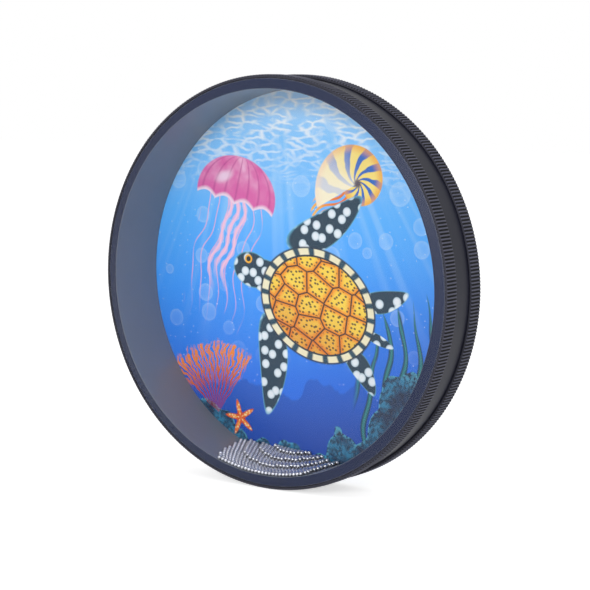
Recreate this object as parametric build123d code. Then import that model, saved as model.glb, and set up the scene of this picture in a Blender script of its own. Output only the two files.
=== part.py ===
"""Ocean drum: a sealed frame drum with two film heads and loose steel beads between them.

The drum stands upright. Its axis lies along Y, the clear front head faces -Y, the printed
rear head faces +Y, and the origin is the centre of the drum. Lengths are in millimetres
and angles in degrees.
"""

import os
from math import atan2, cos, pi, radians, sin, sqrt, tan

from build123d import *

# Shell: a bent ring whose two bearing edges slope back towards the outside
chamber_diameter = 281.5
shell_wall = 7.75
drum_depth = 50.0
bearing_land = 1.0
bearing_slope = 2.0
bearing_inner_round = 0.5
bearing_land_round = 1.2
bearing_outer_round = 0.8

# Heads: plastic film, stretched over the bearing edges and turned down outside the shell
film_thickness = 0.25
skirt_length = 8.0

# Hoops: rings that hold the turned-down skirts to the shell, ribbed outside, with rounded edges
hoop_setback = 2.0
hoop_width = 12.5
hoop_wall = 1.35
hoop_edge_round = 1.3
rib_height = 0.8
rib_pitch = 2.53
rib_allowance = 0.05

# Beads: steel balls, piled on the lowest part of the wall and deepest at the rear head
bead_diameter = 3.0
bead_gap = 0.1
bead_wall_gap = 0.2
lane_count = 5
pile_peak_angle = -4.0
pile_right_angle = 13.4
pile_front_left_angle = -18.2
pile_rear_left_angle = -23.5
pile_extra_layers = 3.6

# Clearance between nested rings and films
seat_clearance = 0.05

# Radii from the chamber outwards
chamber_radius = chamber_diameter / 2
land_radius = chamber_radius + bearing_land
shell_radius = chamber_radius + shell_wall
skirt_radius = shell_radius + seat_clearance + film_thickness
hoop_inner_radius = skirt_radius + seat_clearance
hoop_groove_radius = hoop_inner_radius + hoop_wall
hoop_crest_radius = hoop_groove_radius + rib_height
hoop_stock_radius = hoop_crest_radius + rib_allowance

# Distances from the middle plane towards the rear, which the front mirrors
head_face = drum_depth / 2
film_inner_face = head_face - film_thickness
bearing_crown = film_inner_face - seat_clearance
bearing_foot = bearing_crown - bearing_slope
skirt_end = bearing_foot - skirt_length
hoop_outer_face = head_face - hoop_setback
hoop_inner_face = hoop_outer_face - hoop_width


def make_shell():
    """A ring with a narrow land and a sloping bearing edge at each side."""
    outline = FilletPolyline(
        (chamber_radius, bearing_crown),
        (land_radius, bearing_crown),
        (shell_radius, bearing_foot),
        (shell_radius, -bearing_foot),
        (land_radius, -bearing_crown),
        (chamber_radius, -bearing_crown),
        radius=[
            bearing_inner_round,
            bearing_land_round,
            bearing_outer_round,
            bearing_outer_round,
            bearing_land_round,
            bearing_inner_round,
        ],
        close=True,
    )
    return revolve(make_face(outline), Axis.Y)


def inside_of_cover(standoff):
    """The section of all that lies under a film standing off the rear bearing edge."""
    slope_angle = atan2(bearing_slope, shell_radius - land_radius)
    land_corner = land_radius + standoff * tan(slope_angle / 2)
    skirt_corner = bearing_foot + standoff * tan(pi / 4 - slope_angle / 2)
    cover = FilletPolyline(
        (0, bearing_crown + standoff),
        (land_corner, bearing_crown + standoff),
        (shell_radius + standoff, skirt_corner),
        (shell_radius + standoff, skirt_end),
        radius=[bearing_land_round + standoff, bearing_outer_round + standoff],
    )
    back_to_axis = Polyline(cover @ 1, (0, skirt_end), cover @ 0)
    return make_face([cover, back_to_axis])


def make_rear_head():
    """A flat disc of film, a cone over the bearing edge and a skirt outside the shell."""
    section = inside_of_cover(seat_clearance + film_thickness) - inside_of_cover(seat_clearance)
    return revolve(section, Axis.Y)


def make_rear_hoop():
    """A rounded ring whose outside is scalloped into ribs along the axis."""
    rib_count = round(2 * pi * hoop_crest_radius / rib_pitch)
    half_rib = pi / rib_count
    scallops = []
    for rib in range(rib_count):
        crest = 2 * half_rib * rib
        scallops.append(
            ThreePointArc(
                on_circle(hoop_groove_radius, crest - half_rib),
                on_circle(hoop_crest_radius, crest),
                on_circle(hoop_groove_radius, crest + half_rib),
            )
        )
    ribbed_bar = extrude(make_face(scallops), hoop_width)
    rounded_ring = FilletPolyline(
        (hoop_inner_radius, hoop_inner_face),
        (hoop_stock_radius, hoop_inner_face),
        (hoop_stock_radius, hoop_outer_face),
        (hoop_inner_radius, hoop_outer_face),
        radius=[0, hoop_edge_round, hoop_edge_round, 0],
        close=True,
    )
    return revolve(make_face(rounded_ring), Axis.Y) & Pos(0, hoop_inner_face, 0) * Rot(-90, 0, 0) * ribbed_bar


def on_circle(radius, angle):
    """A point on a circle about the drum's axis, with its angle in radians."""
    return (radius * cos(angle), radius * sin(angle))


def bead_row(row, row_count, distance):
    """The places of one row of beads, as a list of points for each layer from the wall up.

    Every layer nests in the hollows of the layer below, and the layers get shorter towards the
    top of the pile. The pile's peak rises steadily from the front row to the rear row.
    """
    depth_share = row / (row_count - 1)
    peak_layers = pile_extra_layers * depth_share
    top_layer = int(peak_layers)
    bead_spacing = bead_diameter + bead_gap
    radius = chamber_radius - bead_wall_gap - bead_diameter / 2
    left = pile_front_left_angle + (pile_rear_left_angle - pile_front_left_angle) * sqrt(depth_share)

    # The step is set by the top layer, which lies on the smallest circle
    step = bead_spacing / (radius - top_layer * bead_diameter)
    golden_ratio = (sqrt(5) - 1) / 2
    start = radians(left) + step * (row * golden_ratio % 1)
    layers = []
    for layer in range(top_layer + 1):
        narrowing = sqrt(1 - layer / peak_layers) if layer else 1
        low = radians(pile_peak_angle + (left - pile_peak_angle) * narrowing)
        high = radians(pile_peak_angle + (pile_right_angle - pile_peak_angle) * narrowing)
        angle = start + layer * step / 2
        places = []
        while angle <= high:
            if angle >= low:
                places.append((radius * sin(angle), distance, -radius * cos(angle)))
            angle += step
        layers.append(places)
        half_chord = radius * sin(step / 2)
        radius = radius * cos(step / 2) - sqrt(bead_spacing**2 - half_chord**2)
    return layers


def make_beads():
    """The pile in lanes side by side, each a bed on the wall and the beads on top of it."""
    clear_depth = 2 * (film_inner_face - bead_wall_gap)
    rows_per_lane = int(clear_depth / (bead_diameter + bead_gap) / lane_count)
    row_count = rows_per_lane * lane_count
    row_pitch = (clear_depth - bead_diameter) / (row_count - 1)
    first_row = (bead_diameter - clear_depth) / 2
    bead = Sphere(bead_diameter / 2)
    groups = {}
    for row in range(row_count):
        lane = row // rows_per_lane + 1
        for layer, places in enumerate(bead_row(row, row_count, first_row + row * row_pitch)):
            group = f"beads_bed_{lane}" if layer == 0 else f"beads_top_{lane}"
            groups.setdefault(group, []).extend(Pos(*place) * bead for place in places)
    return {group: Compound(children=beads) for group, beads in groups.items()}


rear_head = make_rear_head()
rear_hoop = make_rear_hoop()
pieces = {
    "shell": make_shell(),
    "front_head": mirror(rear_head, about=Plane.XZ),
    "rear_head": rear_head,
    "front_hoop": mirror(rear_hoop, about=Plane.XZ),
    "rear_hoop": rear_hoop,
}
pieces.update(make_beads())

os.makedirs("parts", exist_ok=True)
for node, shape in pieces.items():
    export_step(shape, f"parts/{node}.step")
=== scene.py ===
"""Looks of the ocean drum: an upright frame drum with a clear head, a printed head and loose steel beads.

Lengths are in metres, apart from those of the printed picture, which are in centimetres.
"""

from math import atan2, cos, e, hypot, pi, radians, sin

import bmesh
import bpy
from mathutils import Matrix, Vector


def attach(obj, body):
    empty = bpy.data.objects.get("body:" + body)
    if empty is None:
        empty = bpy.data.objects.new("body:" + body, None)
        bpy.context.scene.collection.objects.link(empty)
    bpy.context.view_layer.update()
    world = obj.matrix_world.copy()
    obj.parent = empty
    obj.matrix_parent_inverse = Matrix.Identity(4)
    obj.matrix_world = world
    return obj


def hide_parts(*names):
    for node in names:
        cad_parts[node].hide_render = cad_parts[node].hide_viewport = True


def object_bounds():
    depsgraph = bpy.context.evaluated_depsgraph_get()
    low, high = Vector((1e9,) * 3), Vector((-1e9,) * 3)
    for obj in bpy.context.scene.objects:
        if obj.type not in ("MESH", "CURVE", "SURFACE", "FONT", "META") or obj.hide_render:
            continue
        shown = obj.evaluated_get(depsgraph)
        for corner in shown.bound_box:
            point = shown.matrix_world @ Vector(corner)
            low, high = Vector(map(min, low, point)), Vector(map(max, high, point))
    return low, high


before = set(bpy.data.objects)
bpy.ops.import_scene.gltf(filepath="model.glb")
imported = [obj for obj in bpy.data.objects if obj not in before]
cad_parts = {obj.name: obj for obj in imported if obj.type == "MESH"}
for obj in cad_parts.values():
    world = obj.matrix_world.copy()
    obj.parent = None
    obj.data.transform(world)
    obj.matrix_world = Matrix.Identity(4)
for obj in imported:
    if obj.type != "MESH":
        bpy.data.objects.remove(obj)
cad_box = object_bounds()


# Shell: a ring of bent plywood whose two edges slope back to the outside, where the heads bear on them.
# It is sprayed with satin lacquer, black outside and grey inside; the edges' blue tint is painted reflection
# and haze.
class Shade:
    """A socket of a material's nodes. Arithmetic on it adds Math nodes."""

    def __init__(self, socket):
        self.socket = socket
        self.tree = socket.id_data

    def node(self, kind, settings=None, sockets=None, output=0):
        """A new node, with its settings set first and then the values or links of its sockets."""
        made = self.tree.nodes.new(kind)
        for name, value in (settings or {}).items():
            if name == "stops":
                stops = made.color_ramp.elements
                while len(stops) < len(value):
                    stops.new(0.5)
                for stop, (position, colour) in zip(stops, value):
                    stop.position = position
                    stop.color = colour
            else:
                setattr(made, name, value)
        dress(made, sockets or {})
        return Shade(made.outputs[output])

    def math(self, operation, *values):
        """A Math node, for what has no operator."""
        return self.node("ShaderNodeMath", {"operation": operation}, dict(enumerate(values)))

    def __add__(self, other):
        return self.math("ADD", self, other)

    def __sub__(self, other):
        return self.math("SUBTRACT", self, other)

    def __rsub__(self, other):
        return self.math("SUBTRACT", other, self)

    def __mul__(self, other):
        return self.math("MULTIPLY", self, other)

    def __truediv__(self, other):
        return self.math("DIVIDE", self, other)

    def __pow__(self, power):
        return self.math("POWER", self, power)

    def __abs__(self):
        return self.math("ABSOLUTE", self)

    __radd__ = __add__
    __rmul__ = __mul__

    def vector(self, operation, *values, output=0):
        """A Vector Math node."""
        return self.node("ShaderNodeVectorMath", {"operation": operation}, dict(enumerate(values)), output)

    def length(self):
        return self.vector("LENGTH", self, output=1)

    def parts(self):
        """The separate X, Y and Z of a vector, or the red, green and blue of a colour."""
        first = self.node("ShaderNodeSeparateXYZ", None, {0: self})
        return [Shade(socket) for socket in first.socket.node.outputs]

    def step(self, low, high):
        """Runs smoothly from 0 at low to 1 at high, whichever of them is the larger."""
        sockets = {"Value": self, "From Min": min(low, high), "From Max": max(low, high)}
        if low > high:
            sockets.update({"To Min": 1.0, "To Max": 0.0})
        return self.node("ShaderNodeMapRange", {"interpolation_type": "SMOOTHSTEP"}, sockets)

    def noise(self, scale, detail=2.0, output=0):
        """Cloudy noise over the place that this vector gives."""
        sockets = {"Vector": self, "Scale": scale, "Detail": detail}
        return self.node("ShaderNodeTexNoise", None, sockets, output)

    def bump(self, strength, distance):
        """The normal of a surface that this value raises."""
        return self.node("ShaderNodeBump", None, {"Strength": strength, "Distance": distance, "Height": self})


def dress(node, sockets):
    """Set a node's sockets to plain values, or link them."""
    for name, value in sockets.items():
        if isinstance(value, Shade):
            value.tree.links.new(value.socket, node.inputs[name])
        else:
            node.inputs[name].default_value = value


def lay(under, colour, mask):
    """A colour laid over another where a mask is 1."""
    return mask.node("ShaderNodeMix", {"data_type": "RGBA"}, {0: mask, 6: under, 7: colour}, 2)


screen_white = 255
screen_gamma = 2.2


def hue(red, green, blue):
    """A colour from its screen values, 0 to 255."""
    return tuple((value / screen_white) ** screen_gamma for value in (red, green, blue)) + (1.0,)


def finish(name):
    """A new material, its surface shader and the place on the piece that its patterns read."""
    material = bpy.data.materials.new(name)
    material.use_nodes = True
    tree = material.node_tree
    place = Shade(tree.nodes.new("ShaderNodeTexCoord").outputs["Object"])
    return material, tree.nodes["Principled BSDF"], place


def cover(node, material):
    """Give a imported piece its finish."""
    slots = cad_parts[node].data.materials
    slots.clear()
    slots.append(material)


def from_axis(place):
    """The distance of a place from the drum's axis."""
    return place.vector("MULTIPLY", place, (1, 0, 1)).length()


# Where the coats meet: distances from the axis, and from the drum's middle plane
inner_wall_limits = (0.1412, 0.1408)
bearing_edge_limits = (0.0226, 0.0229)
grain_stretch = (14, 900, 14)
lacquer, surface, place = finish("shell_lacquer")
grain = place.vector("MULTIPLY", place, grain_stretch).noise(1.0, 4.0)
cloud = place.noise(26.0, 3.0)
inner_wall = from_axis(place).step(*inner_wall_limits)
from_middle = abs(place.parts()[1])
bearing_edge = from_middle.step(*bearing_edge_limits) * (1 - inner_wall)
outside = lay(hue(25, 26, 36), hue(37, 38, 51), cloud * 0.6 + grain * 0.4)
inside = lay(hue(106, 111, 119), hue(116, 121, 129), cloud * 0.7 + grain * 0.3)
# Painted reflection: the edges' black lacquer is tinted blue for the blue light and film haze over it
edge_lacquer_painted_blue = lay(hue(28, 36, 61), hue(36, 44, 70), cloud)
orange_peel = place.noise(1400.0, 2.0) * 0.5 + grain * 0.5
dress(surface, {
    "Base Color": lay(lay(outside, edge_lacquer_painted_blue, bearing_edge), inside, inner_wall),
    "Roughness": 0.34 + 0.16 * cloud,
    "Specular IOR Level": 0.2,
    "Coat Weight": inner_wall * 0.4,
    "Coat Roughness": 0.25,
    "Normal": orange_peel.bump(0.03, 0.0001),
})
cover("shell", lacquer)


# Rear head: polyester film with a picture of the sea printed on it in gloss inks, seen from both sides.
# It is stretched over the shell's rear edge and its skirt is glued down outside the shell.
cm_in_metre = 100
picture_radius = 14.1
print_ink, surface, place = finish("sea_print")
side, _, height = place.parts()
side = side * cm_in_metre
height = height * cm_in_metre
picture = place.node("ShaderNodeCombineXYZ", None, {0: side, 1: height})


def motif(x, z, width=1.0, tall=None, turn=0.0):
    """The picture in a motif's own frame, centred, turned and in units of its half sizes, in centimetres."""
    return picture.node("ShaderNodeMapping", {"vector_type": "TEXTURE"}, {
        "Vector": picture,
        "Location": (x, z, 0),
        "Rotation": (0, 0, radians(turn)),
        "Scale": (width, tall or width, 1),
    })


def cells(vector, scale, feature="F1", randomness=1.0, output=0):
    """Scattered points: the distance to the nearest, or to the border between two."""
    return vector.node("ShaderNodeTexVoronoi", {"voronoi_dimensions": "2D", "feature": feature},
                       {"Vector": vector, "Scale": scale, "Randomness": randomness}, output)


def unevenness(value, scale, detail):
    """Noise that varies along a single value."""
    sockets = {"W": value, "Scale": scale, "Detail": detail}
    return value.node("ShaderNodeTexNoise", {"noise_dimensions": "1D"}, sockets)


def wave(value):
    """The sine of a value, for wavy lines."""
    return value.math("SINE", value)


def fold(value, width):
    """The distance to the middle of each repeat of a width, from 0 to half of it."""
    return value.math("PINGPONG", value, width / 2)


# Water: lighter towards the surface, deeper to the lower right, with ripples, slanting light and bubbles
water = height.node("ShaderNodeValToRGB", {"stops": [
    (0.00, hue(12, 88, 204)),
    (0.22, hue(30, 112, 226)),
    (0.45, hue(58, 152, 248)),
    (0.66, hue(86, 178, 254)),
    (0.86, hue(132, 202, 255)),
    (1.00, hue(184, 224, 255)),
]}, {0: (height + picture_radius) / (2 * picture_radius)})
water = lay(water, hue(128, 194, 248), motif(-3, 7, 10, 6).length().step(1.0, 0.0) * 0.5)
water = lay(water, hue(24, 94, 206), motif(10, -7, 13, 10).length().step(1.0, 0.1) * 0.5)
sun_x, sun_z = -3, 24
beam = unevenness((side - sun_x) / (sun_z - height), 16.0, 1.0)
water = lay(water, hue(188, 226, 252), beam.step(0.46, 0.72) * height.step(-9, 11) * 0.34)
warp = picture.vector("MULTIPLY_ADD", picture.noise(0.5, 3.0, 1), (2.2, 0.9, 0), picture)
ripple = cells(warp.vector("MULTIPLY", warp, (0.62, 2.1, 0)), 1.0, "DISTANCE_TO_EDGE")
near_surface = height.step(5.5, 12) * picture.noise(0.7, 2.0).step(0.3, 0.6)
water = lay(water, hue(238, 247, 253), ripple.step(0.26, 0.02) * near_surface)
bubbles_per_cm = 0.36
bubble = cells(picture, bubbles_per_cm)
bubble_size = cells(picture, bubbles_per_cm, output=1).parts()[0]
bubble_space = cells(picture, bubbles_per_cm, "N_SPHERE_RADIUS", output="Radius")
rim = bubble_size.math("MINIMUM", bubble_size * 0.24 + 0.08, bubble_space * 0.9)
bubble_fill = (bubble - rim).step(0.012, -0.012) * (0.12 + 0.2 * (bubble / rim) ** 4)
water = lay(water, hue(214, 236, 255), bubble_fill * bubble_size.step(0.25, 0.4) * height.step(-8, -1))
spray_per_cm = 2.1
spray = cells(picture, spray_per_cm)
spray_pick = cells(picture, spray_per_cm, output=1).parts()[1]
water = lay(water, hue(235, 246, 255), spray.step(0.1, 0.06) * spray_pick.step(0.82, 0.86) * 0.7)

# Reef: a pale ridge far off and a dark one close by, heaped up at the sides
far_top = unevenness(side, 0.32, 4.0) * 6 - 11.3
ridge = (height - far_top).step(0.12, -0.12)
scene_ink = lay(water, lay(hue(22, 92, 196), hue(12, 66, 160), height.step(-6, -13)), ridge * 0.85)
lump = cells(picture, 0.62)
heap = side.step(2.0, 10.0) * 6.6 + side.step(-4.0, -10.0) * 3.4
near_top = unevenness(side + 31, 0.4, 1.0) * 4.0 - 14.2 - lump * 1.5 + heap
rock = (height - near_top).step(0.06, -0.06)
boulder = cells(picture.vector("MULTIPLY_ADD", picture.noise(0.8, 3.0, 1), (0.9, 0.9, 0), picture), 0.75)
crust = picture.noise(3.2, 5.0)
stone = lay(hue(46, 124, 160), hue(9, 48, 82), boulder.step(0.1, 0.75))
stone = lay(stone, hue(5, 28, 52), crust.step(0.42, 0.62) * 0.75)
stone = lay(stone, hue(96, 190, 214), (near_top - height).step(0.5, 0.0) * crust.step(0.6, 0.42) * 0.7)
stone = lay(stone, hue(6, 30, 62), (near_top - height).step(1.0, 6.0) * 0.6)

# Kelp: ribbons that rise behind the near reef and lean with the swell
sway = side + wave(height * 0.55 + 1.2) * 0.45 + wave(height * 1.3 + side * 0.6) * 0.14
ribbon_top = unevenness(side, 0.9, 1.0) * 11 - 6.5
ribbon_width = (ribbon_top - height).step(0.0, 5.0) * 0.24
ribbon_gap = fold(sway + 0.4, 1.25)
ribbon = (ribbon_gap - ribbon_width).step(0.05, -0.05) * (ribbon_top - height).step(0.0, 0.2)
ribbon = ribbon * side.step(4.2, 5.0)
frond = lay(hue(10, 66, 92), hue(38, 128, 128), (ribbon_gap / (ribbon_width + 0.02)).step(0.7, 0.1))
scene_ink = lay(scene_ink, frond, ribbon)
scene_ink = lay(scene_ink, stone, rock)

# Sea fan: red coral that branches up from the reef at the left
fan_place = motif(-8.0, -10.9, 1.16, turn=10)
reach = fan_place.length()
fan_x, fan_y, _ = fan_place.parts()
bearing = fan_x.math("ARCTAN2", fan_x, fan_y) + fan_place.noise(1.1, 2.0) * 0.22 - 0.11
twig = fold(bearing + wave(reach * 2.1) * 0.03, 0.15)
fine_twig = fold(bearing + wave(reach * 3.3) * 0.025 + 0.04, 0.075)
fan_rim = reach + fan_place.noise(2.0, 2.0) * 1.4
in_fan = abs(bearing).step(0.82, 0.74) * fan_rim.step(5.6, 5.2)
branch = (twig - 0.034 + reach * 0.0036).step(0.012, -0.012)
fine_branch = (fine_twig - 0.017).step(0.008, -0.008) * reach.step(1.8, 2.4)
coral = lay(hue(176, 30, 26), hue(250, 140, 48), reach.step(1.0, 5.0))
scene_ink = lay(scene_ink, coral, branch.math("MAXIMUM", branch, fine_branch) * in_fan)

# Starfish: five rounded arms with a dotted ridge along each
star_place = motif(-5.9, -11.1, 1.5, turn=14)
star_x, star_y, _ = star_place.parts()
star_turn = star_x.math("ARCTAN2", star_x, star_y)
star_arm = fold(star_turn, 2 * pi / 5)
star_reach = star_place.length()
star_edge = 0.3 + 0.72 * (star_arm / (pi / 5)).step(1.0, -0.12) ** 1.8
star = (star_reach - star_edge).step(0.03, -0.03)
star_dot = cells(star_place, 5.5, randomness=0.7).step(0.34, 0.2)
star_ink = lay(hue(232, 92, 40), hue(255, 176, 70), star_arm.step(0.24, 0.0) * star_reach.step(1.0, 0.2))
star_ink = lay(star_ink, hue(255, 232, 170), star_dot * star_arm.step(0.34, 0.1) * 0.9)
star_ink = lay(star_ink, hue(150, 36, 30), (star_edge - star_reach).step(0.12, 0.0) * 0.7)
scene_ink = lay(scene_ink, star_ink, star)

# Jellyfish: a pink bell with lobes round its mouth, frilled arms and trailing threads
jelly_x, jelly_z, jelly_size, jelly_turn = -6.3, 6.0, 1.35, -14
bell_place = motif(jelly_x, jelly_z, jelly_size, turn=jelly_turn)
dome = motif(jelly_x, jelly_z, 2.75 * jelly_size, 2.2 * jelly_size, jelly_turn).length()
sheen = motif(jelly_x - 1.1, jelly_z + 1.4, 1.2, 0.6, 20).length()
bell_x, bell_y, _ = bell_place.parts()
hem = abs(wave(bell_x * 2.3)) * 0.3 - 0.55
bell = dome.step(1.02, 0.98) * (bell_y - hem).step(-0.04, 0.04)
drift = bell_x + wave(bell_y * 1.15) * 0.28 + wave(bell_y * 2.6 + bell_x) * 0.08
thread = fold(drift, 0.62).step(0.05, 0.02) * (bell_y - hem).step(0.1, 0.0) * abs(bell_x).step(2.3, 2.0)
thread = thread * (bell_y + bell_place.noise(0.7, 1.0) * 3).step(-6.2, -3.0)
frill_lean = drift + wave(bell_y * 2.4) * 0.1
frill_gap = fold(frill_lean, 0.5)
frill = frill_gap - 0.15 - 0.035 * wave(bell_y * 9)
arms = frill.step(0.03, -0.03) * abs(frill_lean).step(0.78, 0.72) * (bell_y - hem).step(0.2, 0.0)
arms = arms * (bell_y + abs(frill_lean) * 1.6).step(-5.2, -3.2) * (0.6 + 0.4 * frill_gap.step(0.12, 0.02))
bell_width = 1.02 - (bell_y / 2.2) * (bell_y / 2.2)
meridian = bell_x / bell_width.math("MAXIMUM", bell_width, 0.02) ** 0.5
rib_line = fold(meridian, 0.78).step(0.12, 0.0)
bell_glow = bell_place.noise(0.9, 2.0).step(0.3, 0.8) * bell_y.step(-0.4, 2.2)
bell_ink = lay(hue(226, 84, 156), hue(255, 206, 226), bell_glow)
bell_ink = lay(bell_ink, hue(190, 46, 126), rib_line * 0.6)
bell_ink = lay(bell_ink, hue(255, 236, 244), (bell_y - hem).step(0.3, 0.05) * 0.8)
bell_ink = lay(bell_ink, hue(255, 240, 248), sheen.step(1.0, 0.2) * 0.6)
scene_ink = lay(scene_ink, hue(246, 178, 212), thread * 0.75)
scene_ink = lay(scene_ink, hue(252, 196, 220), arms)
scene_ink = lay(scene_ink, bell_ink, bell * 0.94)

# Nautilus: a coiled shell striped yellow and blue, with short orange arms at its mouth
coil_place = motif(4.7, 7.2, 2.3, turn=28)
coil_x, coil_y, _ = coil_place.parts()
coil_turn = coil_x.math("ARCTAN2", coil_y, coil_x)
coil_reach = coil_place.length()
growth = 0.175
coil_log = coil_reach.math("LOGARITHM", coil_reach + 0.001, e)
coil_edge = coil_turn.math("EXPONENT", coil_turn * growth)
coil = (coil_reach - coil_edge).step(0.02, -0.02)
stripe = wave(coil_turn * 9 + coil_log * 5 + coil_place.noise(2.5, 1.0) * 2)
coil_ink = lay(hue(255, 226, 120), hue(46, 104, 190), stripe.step(0.05, 0.5))
coil_ink = lay(coil_ink, hue(250, 164, 52), (coil_edge - coil_reach).step(0.34, 0.0) * 0.75)
coil_ink = lay(coil_ink, hue(255, 250, 232), coil_turn.step(0.9, 2.9) * 0.7)
coil_ink = lay(coil_ink, hue(60, 44, 70), coil_reach.step(0.2, 0.06) * 0.9)
mouth = motif(2.4, 5.6, 2.0, 1.35, 28)
mouth_x, mouth_y, _ = mouth.parts()
arm_fan = fold(mouth_y + wave(mouth_x * 3.5) * 0.18, 0.3).step(0.1, 0.05) * mouth.length().step(1.0, 0.9)
scene_ink = lay(scene_ink, lay(hue(240, 120, 40), hue(255, 190, 90), mouth_x.step(0.2, -0.9)), arm_fan)
scene_ink = lay(scene_ink, coil_ink, coil)

# Turtle: dark flippers with white blotches under a yellow and orange shell of dotted plates
turtle_x, turtle_z, turtle_size, turtle_turn = 1.3, -2.0, 1.36, 158


def of_turtle(x, z, width, tall, turn=0.0):
    """A motif that is placed in the turtle's own frame, with its head towards +X."""
    heading = radians(turtle_turn)
    right = turtle_size * (x * cos(heading) - z * sin(heading))
    up = turtle_size * (x * sin(heading) + z * cos(heading))
    return motif(turtle_x + right, turtle_z + up, turtle_size * width, turtle_size * tall, turtle_turn + turn)


def blade(x, z, width, tall, turn, bend):
    """The distance past a flipper's curved outline, in its half sizes."""
    along, out, _ = of_turtle(x, z, width, tall, turn).parts()
    out = (out + bend * along * along) / (1 - 0.3 * along)
    return (along * along + out * out) ** 0.5 - 1


turtle = of_turtle(0, 0, 1, 1)
blotch = cells(turtle, 1.35, randomness=0.75)
skin = lay(hue(236, 242, 244), hue(12, 52, 70), blotch.step(0.3, 0.37))
skin = lay(skin, hue(140, 176, 190), blotch.step(0.16, 0.34) * blotch.step(0.37, 0.34) * 0.5)
flippers = [
    blade(1.5, 4.3, 2.9, 0.95, 112, 0.42),
    blade(1.1, -4.2, 2.8, 0.95, -128, -0.42),
    blade(-3.9, 2.0, 1.5, 0.6, 150, 0.3),
    blade(-3.8, -2.1, 1.5, 0.6, -146, -0.3),
    blade(-4.3, 0.0, 0.9, 0.28, 180, 0.0),
    of_turtle(3.7, 0.0, 1.4, 0.95).length() - 1,
    of_turtle(4.8, 0.05, 1.3, 0.98, 4).length() - 1,
]
limb = flippers[0]
for flipper in flippers[1:]:
    limb = limb.math("MINIMUM", limb, flipper)
limb_ink = lay(skin, hue(104, 178, 206), limb.step(-0.1, 0.0) * 0.8)
scene_ink = lay(scene_ink, limb_ink, limb.step(0.02, -0.02))
scene_ink = lay(scene_ink, hue(246, 176, 40), of_turtle(5.25, -0.42, 0.25, 0.25).length().step(1.05, 0.95))
scene_ink = lay(scene_ink, hue(10, 12, 18), of_turtle(5.25, -0.42, 0.15, 0.15).length().step(1.05, 0.9))
carapace = of_turtle(0, 0, 3.95, 3.0)
shell_x, shell_y, _ = carapace.parts()
shell_rim = carapace.length() + shell_x * shell_x * 0.04 - shell_x * 0.03
plate = cells(carapace, 2.6, "DISTANCE_TO_EDGE", 0.45)
plate_dot = cells(carapace, 13.0, randomness=0.8)
shell_ink = lay(hue(250, 146, 24), hue(255, 214, 74), plate.step(0.02, 0.28))
shell_ink = lay(shell_ink, hue(214, 92, 16), shell_y.step(-0.2, 0.9) * 0.55)
shell_ink = lay(shell_ink, hue(62, 34, 20), plate_dot.step(0.3, 0.2) * plate.step(0.05, 0.12) * 0.9)
shell_ink = lay(shell_ink, hue(58, 36, 24), plate.step(0.05, 0.015))
shell_turn = shell_x.math("ARCTAN2", shell_y, shell_x)
edge_plate = fold(shell_turn, pi / 11)
margin = lay(hue(20, 66, 84), hue(246, 236, 196), edge_plate.step(0.03, 0.07))
shell_ink = lay(shell_ink, margin, shell_rim.step(0.86, 0.875))
shell_ink = lay(shell_ink, hue(16, 40, 54), abs(shell_rim - 0.865).step(0.022, 0.01))
scene_ink = lay(scene_ink, hue(8, 36, 56), shell_rim.step(1.04, 1.0))
scene_ink = lay(scene_ink, shell_ink, shell_rim.step(1.0, 0.985))

film_ripple = place.noise(40.0, 2.0)
dress(surface, {
    "Base Color": scene_ink,
    "Roughness": 0.3 + 0.12 * film_ripple,
    "Normal": film_ripple.bump(0.05, 0.0004),
})
cover("rear_head", print_ink)


# Rear hoop: a ring moulded in black plastic, ribbed all round for grip, with rounded edges.
# It is pushed over the head's skirt and grips it to the shell.
hoop_inner_radius = 0.14885
hoop_outer_radius = 0.151
hoop_half_width = 0.00625
hoop_edge_round = 0.0013
edge_leans = (0, 30, 60, 90)
hoop_middle = 0.01675
rib_count = 375
rib_depth = 0.0008
rib_steps = 6
weld_distance = 0.00001
sharp_angle = 60


def ribbed_hoop(name, middle):
    """One rib, swept from groove to groove across the ring's section and repeated round the drum's axis."""
    mesh = bmesh.new()
    half = [(hoop_half_width, hoop_inner_radius)]
    for lean in edge_leans:
        across = hoop_half_width - hoop_edge_round * (1 - cos(radians(lean)))
        half.append((across, hoop_outer_radius - hoop_edge_round * (1 - sin(radians(lean)))))
    section = half + [(-across, radius) for across, radius in reversed(half)]
    section = [mesh.verts.new((0, across, radius)) for across, radius in section]
    outline = [mesh.edges.new(pair) for pair in zip(section, section[1:] + section[:1])]
    pitch = 2 * pi / rib_count
    about_axis = {"cent": (0, 0, 0), "axis": (0, 1, 0)}
    bmesh.ops.rotate(mesh, cent=(0, 0, 0), matrix=Matrix.Rotation(-pitch / 2, 3, "Y"), verts=section)
    bmesh.ops.spin(mesh, geom=section + outline, angle=pitch, steps=rib_steps, **about_axis)
    for vert in mesh.verts:
        turn = atan2(vert.co.x, vert.co.z)
        rib_radius = hoop_outer_radius - rib_depth * sin(turn * rib_count / 2) ** 2
        radius = min(hypot(vert.co.x, vert.co.z), rib_radius)
        vert.co = (radius * sin(turn), vert.co.y, radius * cos(turn))
    rib = mesh.verts[:] + mesh.edges[:] + mesh.faces[:]
    rest_of_turn = 2 * pi - pitch
    bmesh.ops.spin(mesh, geom=rib, angle=rest_of_turn, steps=rib_count - 1, use_duplicate=True, **about_axis)
    bmesh.ops.remove_doubles(mesh, verts=mesh.verts[:], dist=weld_distance)
    bmesh.ops.translate(mesh, vec=(0, middle, 0), verts=mesh.verts[:])
    bmesh.ops.recalc_face_normals(mesh, faces=mesh.faces[:])
    for face in mesh.faces:
        face.smooth = True
    data = bpy.data.meshes.new(name)
    mesh.to_mesh(data)
    mesh.free()
    data.set_sharp_from_angle(angle=radians(sharp_angle))
    hoop = bpy.data.objects.new(name, data)
    bpy.context.collection.objects.link(hoop)
    return hoop
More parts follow.
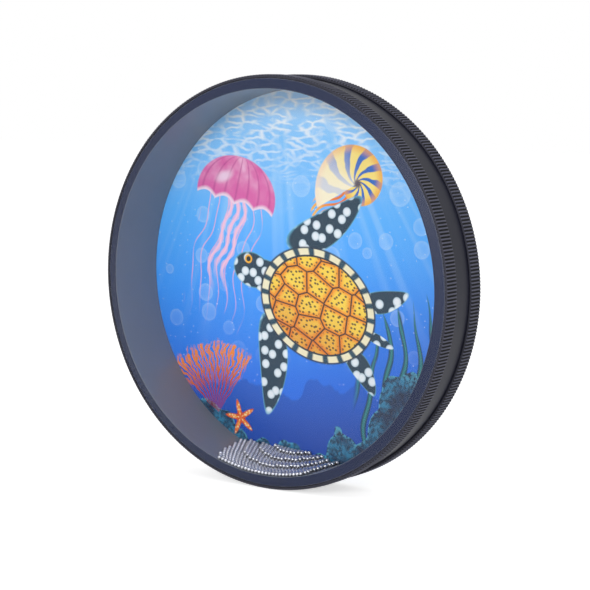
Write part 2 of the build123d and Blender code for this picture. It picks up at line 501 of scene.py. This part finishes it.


# The ribs stand outside a plain lip, painted paler than the black plastic as painted light in its shaded
# corner
lip_limits = (0.15, 0.1503)
moulded, surface, place = finish("hoop_plastic")
bloom = place.noise(60.0, 3.0)
fine = place.noise(2600.0, 2.0)
sideways, _, up = place.parts()
# Crests painted paler, partly wear and partly painted highlight; grooves painted near black as painted shade
rib_phase = sideways.math("COSINE", sideways.math("ARCTAN2", sideways, up) * rib_count)
crest_wear_and_painted_light = rib_phase.step(-0.4, 0.8)
ribbed = from_axis(place).step(*lip_limits)
# Painted light: the lip is paler grey than the black plastic, to lift the shade in its corner
lip_colour_painted_light = lay(hue(54, 54, 62), hue(64, 64, 73), bloom)
rib_colour_painted_light_and_shade = lay(hue(2, 2, 3), hue(85, 86, 101), crest_wear_and_painted_light)
dress(surface, {
    "Base Color": lay(lip_colour_painted_light, rib_colour_painted_light_and_shade, ribbed),
    "Roughness": 0.52 + 0.14 * bloom - 0.08 * crest_wear_and_painted_light,
    "Specular IOR Level": 0.1,
    "Normal": fine.bump(0.1, 0.00005),
})
rear_hoop = ribbed_hoop("rear_hoop_ribbed", hoop_middle)
rear_hoop.data.materials.append(moulded)
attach(rear_hoop, "drum")
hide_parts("rear_hoop")


# Beads: bright steel balls of 3 mm, ground and polished, poured in loose before the second head goes on.
# They lie heaped on the lowest part of the wall.
polish, surface, place = finish("bead_steel")
tarnish = place.noise(190.0, 1.0)
scuff = place.noise(1500.0, 2.0)
dress(surface, {
    "Base Color": lay(hue(183, 183, 187), hue(203, 203, 207), tarnish.step(0.3, 0.7)),
    "Metallic": 1.0,
    "Roughness": 0.26 + 0.1 * tarnish + 0.06 * scuff,
})
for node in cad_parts:
    if node.startswith("beads_"):
        cover(node, polish)


# Front head: clear polyester film, stretched over the shell's front edge so that the beads and picture show.
# It is turned down over the edge, where a painted highlight runs along its bend, and its skirt is glued
# outside the shell.
painted_bend_highlight_limits = (0.1474, 0.1482)
clear_film, surface, place = finish("clear_film")
# Painted highlight: along the bend the film is mixed further towards its pale gloss, drawing the bend's light
# line
bend = from_axis(place).step(*painted_bend_highlight_limits)
smear = place.noise(9.0, 3.0)
open_film = place.node("ShaderNodeBsdfTransparent", None, {"Color": (0.985, 0.99, 1.0, 1.0)})
tilt = place.node("ShaderNodeLayerWeight", None, {"Blend": 0.5}, 1)
film_haze = 0.008 + 0.006 * smear
film_glint_and_painted_bend_highlight = 0.12 * tilt ** 5 + bend * 0.04
dress(surface, {
    "Base Color": hue(206, 210, 226),
    "Roughness": 0.1 + 0.1 * smear,
})
film_gloss = Shade(surface.outputs["BSDF"])
film = place.node("ShaderNodeMixShader", None, {0: film_haze + film_glint_and_painted_bend_highlight, 1: open_film, 2: film_gloss})
dress(clear_film.node_tree.nodes["Material Output"], {"Surface": film})
cover("front_head", clear_film)


# Front hoop: the same moulded ring as at the rear, in the same black plastic.
# It is pushed over the clear head's skirt and grips it to the shell.
front_hoop = ribbed_hoop("front_hoop_ribbed", -hoop_middle)
front_hoop.data.materials.append(moulded)
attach(front_hoop, "drum")
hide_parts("front_hoop")


# Studio: a pale floor under the drum and a white room around it.
# Two large soft lamps stand to the sides of the camera, above the drum.
white = (1.0, 1.0, 1.0, 1.0)
floor_half_width = 6.0
floor_grey = (0.8, 0.8, 0.8, 1.0)
floor_glow = 0.62
room_light = 0.62
backdrop_rays = ("Is Camera Ray", "Is Glossy Ray", "Is Transmission Ray")


def seen_as_backdrop(tree):
    """1 for the rays that see the white backdrop itself, and 0 for those that it lights."""
    rays = tree.nodes.new("ShaderNodeLightPath").outputs
    seen = Shade(rays[backdrop_rays[0]])
    for ray in backdrop_rays[1:]:
        seen = seen.math("MAXIMUM", seen, Shade(rays[ray]))
    return seen


floor_mesh = bmesh.new()
bmesh.ops.create_grid(floor_mesh, x_segments=1, y_segments=1, size=floor_half_width)
bmesh.ops.translate(floor_mesh, vec=(0, 0, cad_box[0][2]), verts=floor_mesh.verts[:])
floor_data = bpy.data.meshes.new("floor")
floor_mesh.to_mesh(floor_data)
floor_mesh.free()
floor = bpy.data.objects.new("floor", floor_data)
bpy.context.collection.objects.link(floor)
paper, surface, place = finish("floor_paper")
dress(surface, {"Base Color": floor_grey, "Roughness": 0.9, "Specular IOR Level": 0.0})
glow_strength = seen_as_backdrop(paper.node_tree) * floor_glow
glow = place.node("ShaderNodeEmission", None, {"Color": white, "Strength": glow_strength})
lit = place.node("ShaderNodeAddShader", None, {0: Shade(surface.outputs["BSDF"]), 1: glow})
dress(paper.node_tree.nodes["Material Output"], {"Surface": lit})
floor_data.materials.append(paper)

room = bpy.data.worlds.new("studio")
bpy.context.scene.world = room
room.use_nodes = True
walls = room.node_tree.nodes["Background"]
wall_strength = room_light + (1 - room_light) * seen_as_backdrop(room.node_tree)
dress(walls, {"Color": white, "Strength": wall_strength})


def soft_lamp(name, place, width, power):
    """A large square lamp that faces the drum."""
    data = bpy.data.lights.new(name, "AREA")
    data.size = width
    data.energy = power
    lamp = bpy.data.objects.new(name, data)
    bpy.context.collection.objects.link(lamp)
    lamp.location = place
    lamp.rotation_euler = (-Vector(place)).to_track_quat("-Z", "Y").to_euler()


soft_lamp("key", (0.4, -2.0, 0.7), 0.6, 20.0)
soft_lamp("fill", (1.9, -0.5, 0.8), 1.2, 9.0)


# Camera: a long lens a little above the drum's middle, well round to its right.
# Its place and length were fitted to the circles of the drum's outline and hoops.
eye = Vector((0.76861, -1.10047, 0.14386))
aim = Vector((0.00661, 0.00332, -0.00991))
lens = bpy.data.cameras.new("camera")
lens.sensor_width = 36.0
lens.lens = 112.245
camera = bpy.data.objects.new("camera", lens)
bpy.context.collection.objects.link(camera)
camera.location = eye
camera.rotation_euler = (aim - eye).to_track_quat("-Z", "Y").to_euler()
bpy.context.scene.camera = camera
bpy.context.scene.view_settings.view_transform = "Standard"
